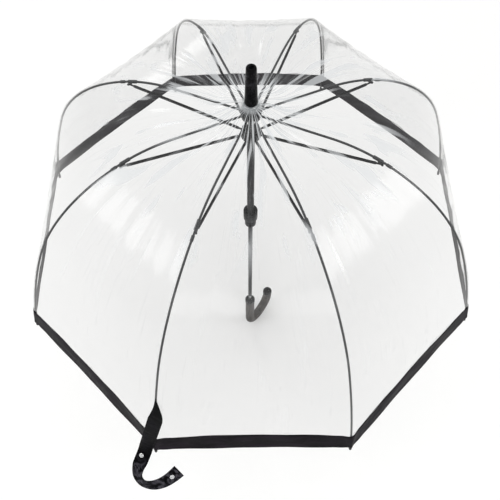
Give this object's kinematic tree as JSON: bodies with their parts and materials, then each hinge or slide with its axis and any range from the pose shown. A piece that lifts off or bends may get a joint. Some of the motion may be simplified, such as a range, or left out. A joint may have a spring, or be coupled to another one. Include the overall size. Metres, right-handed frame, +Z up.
{
  "type": "dome umbrella",
  "caption": "Clear dome umbrella on a stick: hinged ribs and stretchers on a sliding runner, black hem, tie strap and crook handle.",
  "frame": {"origin": "on the shaft's axis at the middle of the straight grip, where the hand closes", "axes": "+Z up along the shaft towards the ferrule; the canopy is open; -Y faces the edge between the strap's rib and the next; the crook turns towards +X and +Y"},
  "size_m": [0.8072, 0.8604, 0.9214],
  "materials": {
    "rib": "satin black",
    "stretcher": "satin black",
    "shaft": "satin black",
    "black_plastic": "gloss",
    "bare_steel": "bright",
    "clear_film": "clear soft plastic film, gloss",
    "clear_plastic": "clear moulded plastic",
    "hem_vinyl": "soft black vinyl binding, satin",
    "strap_vinyl": "soft black vinyl, gloss",
    "mottled_handle": "mottled brown and black, satin"
  },
  "bodies": {
    "stick": {"shaft": "shaft", "ferrule": "black_plastic", "top_notch": "black_plastic", "notch_wire": "bare_steel", "notch_pin": "bare_steel", "canopy_washer": "clear_plastic", "canopy": "clear_film", "hem_binding": "hem_vinyl", "handle_collar": "black_plastic", "handle": "mottled_handle", "handle_end_cap": "black_plastic"},
    "rib_inner_1": {"rib_inner_1": "rib"},
    "rib_middle_1": {"rib_middle_1": "rib"},
    "rib_outer_1": {"rib_outer_1": "rib", "rib_cap_1": "black_plastic", "tie_strap": "strap_vinyl", "snap_stud": "bare_steel", "snap_socket": "bare_steel"},
    "stretcher_1": {"stretcher_1": "stretcher"},
    "rib_inner_2": {"rib_inner_2": "rib"},
    "rib_middle_2": {"rib_middle_2": "rib"},
    "rib_outer_2": {"rib_outer_2": "rib", "rib_cap_2": "black_plastic"},
    "stretcher_2": {"stretcher_2": "stretcher"},
    "rib_inner_3": {"rib_inner_3": "rib"},
    "rib_middle_3": {"rib_middle_3": "rib"},
    "rib_outer_3": {"rib_outer_3": "rib", "rib_cap_3": "black_plastic"},
    "stretcher_3": {"stretcher_3": "stretcher"},
    "rib_inner_4": {"rib_inner_4": "rib"},
    "rib_middle_4": {"rib_middle_4": "rib"},
    "rib_outer_4": {"rib_outer_4": "rib", "rib_cap_4": "black_plastic"},
    "stretcher_4": {"stretcher_4": "stretcher"},
    "rib_inner_5": {"rib_inner_5": "rib"},
    "rib_middle_5": {"rib_middle_5": "rib"},
    "rib_outer_5": {"rib_outer_5": "rib", "rib_cap_5": "black_plastic"},
    "stretcher_5": {"stretcher_5": "stretcher"},
    "rib_inner_6": {"rib_inner_6": "rib"},
    "rib_middle_6": {"rib_middle_6": "rib"},
    "rib_outer_6": {"rib_outer_6": "rib", "rib_cap_6": "black_plastic"},
    "stretcher_6": {"stretcher_6": "stretcher"},
    "rib_inner_7": {"rib_inner_7": "rib"},
    "rib_middle_7": {"rib_middle_7": "rib"},
    "rib_outer_7": {"rib_outer_7": "rib", "rib_cap_7": "black_plastic"},
    "stretcher_7": {"stretcher_7": "stretcher"},
    "rib_inner_8": {"rib_inner_8": "rib"},
    "rib_middle_8": {"rib_middle_8": "rib"},
    "rib_outer_8": {"rib_outer_8": "rib", "rib_cap_8": "black_plastic"},
    "stretcher_8": {"stretcher_8": "stretcher"},
    "runner": {"runner": "black_plastic", "runner_wire": "bare_steel", "runner_collar": "black_plastic"},
    "open_catch": {"open_catch": "bare_steel"},
    "closed_catch": {"closed_catch": "bare_steel"}
  },
  "joints": [
    {"name": "canopy_fold", "type": "hinge", "parent": "stick", "child": "rib_inner_1", "pos_m": [-0.00497, -0.01201, 0.728], "axis": [0.9239, -0.3827, 0], "range_deg": [0, 81], "deforming": ["canopy", "hem_binding"]},
    {"name": "stretcher_turn_1", "type": "hinge", "parent": "rib_inner_1", "child": "stretcher_1", "pos_m": [-0.07798, -0.18826, 0.70582], "axis": [0.9239, -0.3827, 0], "range_deg": [-162, 0]},
    {"name": "rib_bend_1", "type": "hinge", "parent": "rib_inner_1", "child": "rib_middle_1", "pos_m": [-0.0787, -0.19001, 0.71023], "axis": [0.9239, -0.3827, 0], "range_deg": [-34.1, 0]},
    {"name": "rib_tip_bend_1", "type": "hinge", "parent": "rib_middle_1", "child": "rib_outer_1", "pos_m": [-0.14012, -0.33829, 0.54918], "axis": [0.9239, -0.3827, 0], "range_deg": [-30.8, 0]},
    {"name": "rib_swing_2", "type": "hinge", "parent": "stick", "child": "rib_inner_2", "pos_m": [0.00497, -0.01201, 0.728], "axis": [0.9239, 0.3827, 0], "range_deg": [0, 81]},
    {"name": "stretcher_turn_2", "type": "hinge", "parent": "rib_inner_2", "child": "stretcher_2", "pos_m": [0.07798, -0.18826, 0.70582], "axis": [0.9239, 0.3827, 0], "range_deg": [-162, 0]},
    {"name": "rib_bend_2", "type": "hinge", "parent": "rib_inner_2", "child": "rib_middle_2", "pos_m": [0.0787, -0.19001, 0.71023], "axis": [0.9239, 0.3827, 0], "range_deg": [-34.1, 0]},
    {"name": "rib_tip_bend_2", "type": "hinge", "parent": "rib_middle_2", "child": "rib_outer_2", "pos_m": [0.14012, -0.33829, 0.54918], "axis": [0.9239, 0.3827, 0], "range_deg": [-30.8, 0]},
    {"name": "rib_swing_3", "type": "hinge", "parent": "stick", "child": "rib_inner_3", "pos_m": [0.01201, -0.00497, 0.728], "axis": [0.3827, 0.9239, 0], "range_deg": [0, 81]},
    {"name": "stretcher_turn_3", "type": "hinge", "parent": "rib_inner_3", "child": "stretcher_3", "pos_m": [0.18826, -0.07798, 0.70582], "axis": [0.3827, 0.9239, 0], "range_deg": [-162, 0]},
    {"name": "rib_bend_3", "type": "hinge", "parent": "rib_inner_3", "child": "rib_middle_3", "pos_m": [0.19001, -0.0787, 0.71023], "axis": [0.3827, 0.9239, 0], "range_deg": [-34.1, 0]},
    {"name": "rib_tip_bend_3", "type": "hinge", "parent": "rib_middle_3", "child": "rib_outer_3", "pos_m": [0.33829, -0.14012, 0.54918], "axis": [0.3827, 0.9239, 0], "range_deg": [-30.8, 0]},
    {"name": "rib_swing_4", "type": "hinge", "parent": "stick", "child": "rib_inner_4", "pos_m": [0.01201, 0.00497, 0.728], "axis": [-0.3827, 0.9239, 0], "range_deg": [0, 81]},
    {"name": "stretcher_turn_4", "type": "hinge", "parent": "rib_inner_4", "child": "stretcher_4", "pos_m": [0.18826, 0.07798, 0.70582], "axis": [-0.3827, 0.9239, 0], "range_deg": [-162, 0]},
    {"name": "rib_bend_4", "type": "hinge", "parent": "rib_inner_4", "child": "rib_middle_4", "pos_m": [0.19001, 0.0787, 0.71023], "axis": [-0.3827, 0.9239, 0], "range_deg": [-34.1, 0]},
    {"name": "rib_tip_bend_4", "type": "hinge", "parent": "rib_middle_4", "child": "rib_outer_4", "pos_m": [0.33829, 0.14012, 0.54918], "axis": [-0.3827, 0.9239, 0], "range_deg": [-30.8, 0]},
    {"name": "rib_swing_5", "type": "hinge", "parent": "stick", "child": "rib_inner_5", "pos_m": [0.00497, 0.01201, 0.728], "axis": [-0.9239, 0.3827, 0], "range_deg": [0, 81]},
    {"name": "stretcher_turn_5", "type": "hinge", "parent": "rib_inner_5", "child": "stretcher_5", "pos_m": [0.07798, 0.18826, 0.70582], "axis": [-0.9239, 0.3827, 0], "range_deg": [-162, 0]},
    {"name": "rib_bend_5", "type": "hinge", "parent": "rib_inner_5", "child": "rib_middle_5", "pos_m": [0.0787, 0.19001, 0.71023], "axis": [-0.9239, 0.3827, 0], "range_deg": [-34.1, 0]},
    {"name": "rib_tip_bend_5", "type": "hinge", "parent": "rib_middle_5", "child": "rib_outer_5", "pos_m": [0.14012, 0.33829, 0.54918], "axis": [-0.9239, 0.3827, 0], "range_deg": [-30.8, 0]},
    {"name": "rib_swing_6", "type": "hinge", "parent": "stick", "child": "rib_inner_6", "pos_m": [-0.00497, 0.01201, 0.728], "axis": [-0.9239, -0.3827, 0], "range_deg": [0, 81]},
    {"name": "stretcher_turn_6", "type": "hinge", "parent": "rib_inner_6", "child": "stretcher_6", "pos_m": [-0.07798, 0.18826, 0.70582], "axis": [-0.9239, -0.3827, 0], "range_deg": [-162, 0]},
    {"name": "rib_bend_6", "type": "hinge", "parent": "rib_inner_6", "child": "rib_middle_6", "pos_m": [-0.0787, 0.19001, 0.71023], "axis": [-0.9239, -0.3827, 0], "range_deg": [-34.1, 0]},
    {"name": "rib_tip_bend_6", "type": "hinge", "parent": "rib_middle_6", "child": "rib_outer_6", "pos_m": [-0.14012, 0.33829, 0.54918], "axis": [-0.9239, -0.3827, 0], "range_deg": [-30.8, 0]},
    {"name": "rib_swing_7", "type": "hinge", "parent": "stick", "child": "rib_inner_7", "pos_m": [-0.01201, 0.00497, 0.728], "axis": [-0.3827, -0.9239, 0], "range_deg": [0, 81]},
    {"name": "stretcher_turn_7", "type": "hinge", "parent": "rib_inner_7", "child": "stretcher_7", "pos_m": [-0.18826, 0.07798, 0.70582], "axis": [-0.3827, -0.9239, 0], "range_deg": [-162, 0]},
    {"name": "rib_bend_7", "type": "hinge", "parent": "rib_inner_7", "child": "rib_middle_7", "pos_m": [-0.19001, 0.0787, 0.71023], "axis": [-0.3827, -0.9239, 0], "range_deg": [-34.1, 0]},
    {"name": "rib_tip_bend_7", "type": "hinge", "parent": "rib_middle_7", "child": "rib_outer_7", "pos_m": [-0.33829, 0.14012, 0.54918], "axis": [-0.3827, -0.9239, 0], "range_deg": [-30.8, 0]},
    {"name": "rib_swing_8", "type": "hinge", "parent": "stick", "child": "rib_inner_8", "pos_m": [-0.01201, -0.00497, 0.728], "axis": [0.3827, -0.9239, 0], "range_deg": [0, 81]},
    {"name": "stretcher_turn_8", "type": "hinge", "parent": "rib_inner_8", "child": "stretcher_8", "pos_m": [-0.18826, -0.07798, 0.70582], "axis": [0.3827, -0.9239, 0], "range_deg": [-162, 0]},
    {"name": "rib_bend_8", "type": "hinge", "parent": "rib_inner_8", "child": "rib_middle_8", "pos_m": [-0.19001, -0.0787, 0.71023], "axis": [0.3827, -0.9239, 0], "range_deg": [-34.1, 0]},
    {"name": "rib_tip_bend_8", "type": "hinge", "parent": "rib_middle_8", "child": "rib_outer_8", "pos_m": [-0.33829, -0.14012, 0.54918], "axis": [0.3827, -0.9239, 0], "range_deg": [-30.8, 0]},
    {"name": "runner_travel", "type": "hinge", "parent": "stretcher_1", "child": "runner", "pos_m": [-0.00497, -0.01201, 0.68364], "axis": [0.9239, -0.3827, 0], "range_deg": [0, 81]},
    {"name": "open_catch_press", "type": "slide", "parent": "stick", "child": "open_catch", "axis": [0, 1, 0], "range_m": [0, 0.0013], "stiffness_N_per_m": 900, "springref_m": -0.0004},
    {"name": "closed_catch_press", "type": "slide", "parent": "stick", "child": "closed_catch", "axis": [0, 1, 0], "range_m": [0, 0.0013], "stiffness_N_per_m": 900, "springref_m": -0.0004}
  ],
  "couplings": [
    {"joint": "stretcher_turn_1", "follows": "canopy_fold", "ratio": -2},
    {"joint": "rib_bend_1", "follows": "canopy_fold", "ratio": -0.42099},
    {"joint": "rib_tip_bend_1", "follows": "canopy_fold", "ratio": -0.38025},
    {"joint": "rib_swing_2", "follows": "canopy_fold", "ratio": 1},
    {"joint": "stretcher_turn_2", "follows": "canopy_fold", "ratio": -2},
    {"joint": "rib_bend_2", "follows": "canopy_fold", "ratio": -0.42099},
    {"joint": "rib_tip_bend_2", "follows": "canopy_fold", "ratio": -0.38025},
    {"joint": "rib_swing_3", "follows": "canopy_fold", "ratio": 1},
    {"joint": "stretcher_turn_3", "follows": "canopy_fold", "ratio": -2},
    {"joint": "rib_bend_3", "follows": "canopy_fold", "ratio": -0.42099},
    {"joint": "rib_tip_bend_3", "follows": "canopy_fold", "ratio": -0.38025},
    {"joint": "rib_swing_4", "follows": "canopy_fold", "ratio": 1},
    {"joint": "stretcher_turn_4", "follows": "canopy_fold", "ratio": -2},
    {"joint": "rib_bend_4", "follows": "canopy_fold", "ratio": -0.42099},
    {"joint": "rib_tip_bend_4", "follows": "canopy_fold", "ratio": -0.38025},
    {"joint": "rib_swing_5", "follows": "canopy_fold", "ratio": 1},
    {"joint": "stretcher_turn_5", "follows": "canopy_fold", "ratio": -2},
    {"joint": "rib_bend_5", "follows": "canopy_fold", "ratio": -0.42099},
    {"joint": "rib_tip_bend_5", "follows": "canopy_fold", "ratio": -0.38025},
    {"joint": "rib_swing_6", "follows": "canopy_fold", "ratio": 1},
    {"joint": "stretcher_turn_6", "follows": "canopy_fold", "ratio": -2},
    {"joint": "rib_bend_6", "follows": "canopy_fold", "ratio": -0.42099},
    {"joint": "rib_tip_bend_6", "follows": "canopy_fold", "ratio": -0.38025},
    {"joint": "rib_swing_7", "follows": "canopy_fold", "ratio": 1},
    {"joint": "stretcher_turn_7", "follows": "canopy_fold", "ratio": -2},
    {"joint": "rib_bend_7", "follows": "canopy_fold", "ratio": -0.42099},
    {"joint": "rib_tip_bend_7", "follows": "canopy_fold", "ratio": -0.38025},
    {"joint": "rib_swing_8", "follows": "canopy_fold", "ratio": 1},
    {"joint": "stretcher_turn_8", "follows": "canopy_fold", "ratio": -2},
    {"joint": "rib_bend_8", "follows": "canopy_fold", "ratio": -0.42099},
    {"joint": "rib_tip_bend_8", "follows": "canopy_fold", "ratio": -0.38025},
    {"joint": "runner_travel", "follows": "canopy_fold", "ratio": 1}
  ]
}
